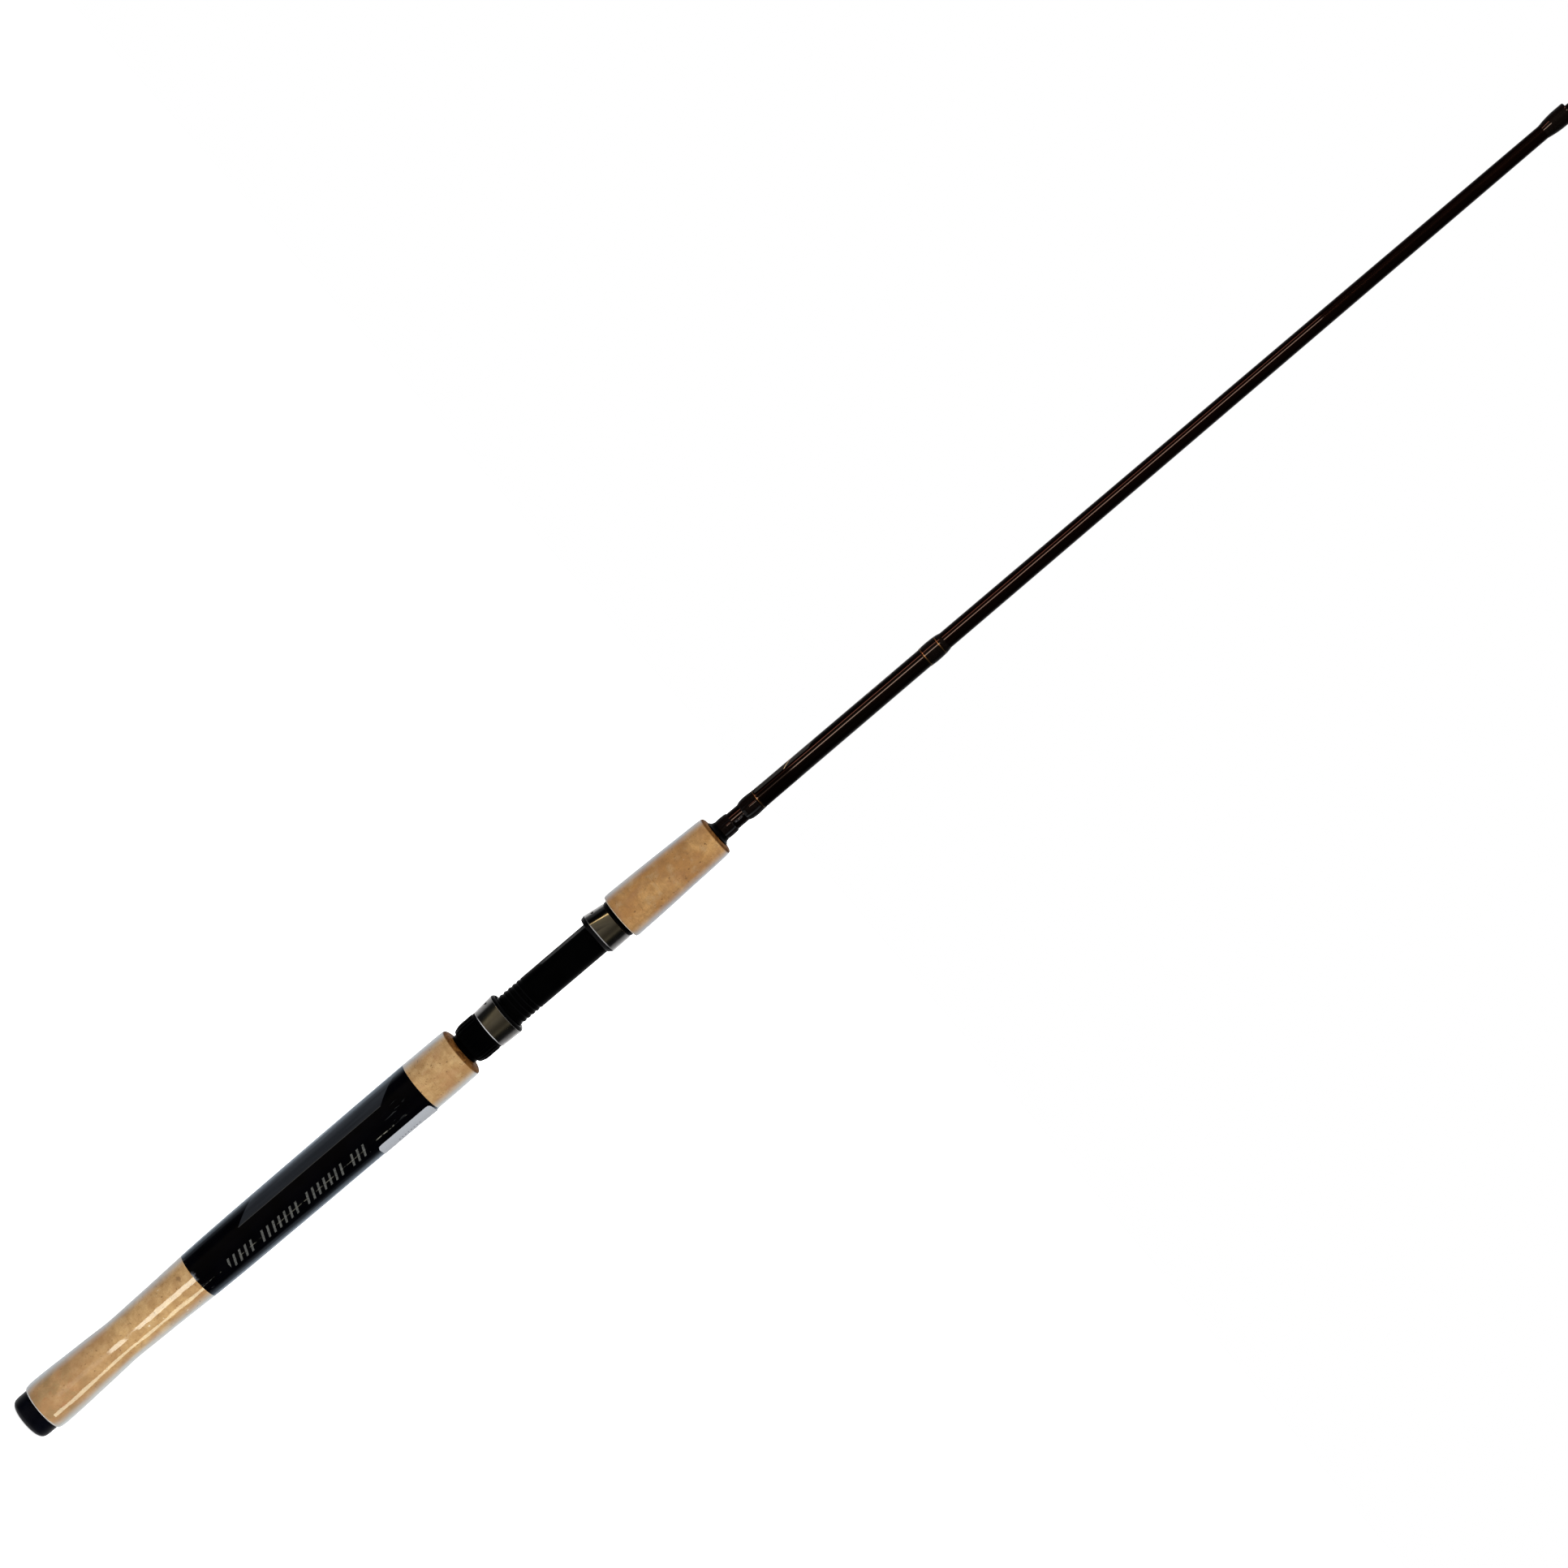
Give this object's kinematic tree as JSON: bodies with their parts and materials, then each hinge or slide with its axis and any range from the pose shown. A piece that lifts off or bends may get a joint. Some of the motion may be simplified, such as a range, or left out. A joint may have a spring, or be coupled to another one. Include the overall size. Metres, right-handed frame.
{
  "type": "spinning rod",
  "caption": "Two-piece spinning rod with cork grips, a screw-locking pipe reel seat, wrapped line guides and a pull-apart ferrule.",
  "frame": {"origin": "centre of the butt cap's flat bottom face, on the rod's axis", "axes": "+Z along the rod from the butt cap to the tip; -X is the side the reel and the line guides are on"},
  "size_m": [0.0483, 0.0286, 1.981],
  "materials": {
    "rubber": "satin black moulded butt cap",
    "graphite": "gloss black lacquer with a dark maroon tint over the wound graphite tube",
    "cork": "sanded natural cork with dark pits, under clear shrink film",
    "printed_film": "black printed shrink film",
    "label_paper": "matt white paper label",
    "seat_plastic": "satin black moulded plastic",
    "nut_plastic": "satin black moulded plastic",
    "hood_steel": "dark polished stainless steel",
    "packing_foam": "grey wound packing tape",
    "epoxy_wrap": "black winding thread under clear epoxy",
    "metallic_trim": "gold metallic thread band",
    "label_gloss": "gloss black coated label section",
    "guide_steel": "black coated steel wire",
    "guide_ceramic": "polished dark ceramic"
  },
  "bodies": {
    "butt_section": {"butt_cap": "rubber", "butt_blank": "graphite", "rear_grip": "cork", "foregrip": "cork", "grip_label_sleeve": "printed_film", "stock_sticker": "label_paper", "reel_seat_barrel": "seat_plastic", "seat_arbor_1": "packing_foam", "seat_arbor_2": "packing_foam", "seat_arbor_3": "packing_foam", "front_hood": "seat_plastic", "front_hood_cover": "hood_steel", "seat_front_ring": "seat_plastic", "winding_check": "nut_plastic", "keeper_rear_wrap": "epoxy_wrap", "keeper_front_wrap": "epoxy_wrap", "keeper_trim_band": "metallic_trim", "hook_keeper": "guide_steel", "label_coat": "label_gloss", "deco_trim_rear": "metallic_trim", "deco_wrap": "epoxy_wrap", "deco_trim_front": "metallic_trim", "deco_finish_wrap": "epoxy_wrap", "ferrule_wrap": "epoxy_wrap"},
    "sliding_hood": {"rear_hood": "seat_plastic", "rear_hood_cover": "hood_steel"},
    "locking_nut": {"lock_nut": "nut_plastic"},
    "tip_section": {"tip_blank": "graphite", "tip_top_frame": "guide_steel", "tip_top_ring": "guide_ceramic", "tip_top_wrap": "epoxy_wrap", "guide_1_frame": "guide_steel", "guide_2_frame": "guide_steel", "guide_3_frame": "guide_steel", "guide_4_frame": "guide_steel", "guide_5_frame": "guide_steel", "guide_6_frame": "guide_steel", "guide_1_ring": "guide_ceramic", "guide_2_ring": "guide_ceramic", "guide_3_ring": "guide_ceramic", "guide_4_ring": "guide_ceramic", "guide_5_ring": "guide_ceramic", "guide_6_ring": "guide_ceramic", "guide_1_rear_wrap": "epoxy_wrap", "guide_2_rear_wrap": "epoxy_wrap", "guide_3_rear_wrap": "epoxy_wrap", "guide_4_rear_wrap": "epoxy_wrap", "guide_5_rear_wrap": "epoxy_wrap", "guide_6_rear_wrap": "epoxy_wrap", "guide_1_front_wrap": "epoxy_wrap", "guide_2_front_wrap": "epoxy_wrap", "guide_3_front_wrap": "epoxy_wrap"}
  },
  "joints": [
    {"name": "hood_slide", "type": "slide", "parent": "butt_section", "child": "sliding_hood", "axis": [0, 0, 1], "range_m": [0, 0.01415]},
    {"name": "nut_turn", "type": "hinge", "parent": "sliding_hood", "child": "locking_nut", "pos_m": [0, 0, 0.299], "axis": [0, 0, 1], "range_deg": [0, 1800.5]},
    {"name": "ferrule_slide", "type": "slide", "parent": "butt_section", "child": "tip_section", "axis": [0, 0, 1], "range_m": [0, 0.066]}
  ],
  "couplings": [
    {"joint": "nut_turn", "follows": "hood_slide", "rad_per_m": 2220.2}
  ]
}
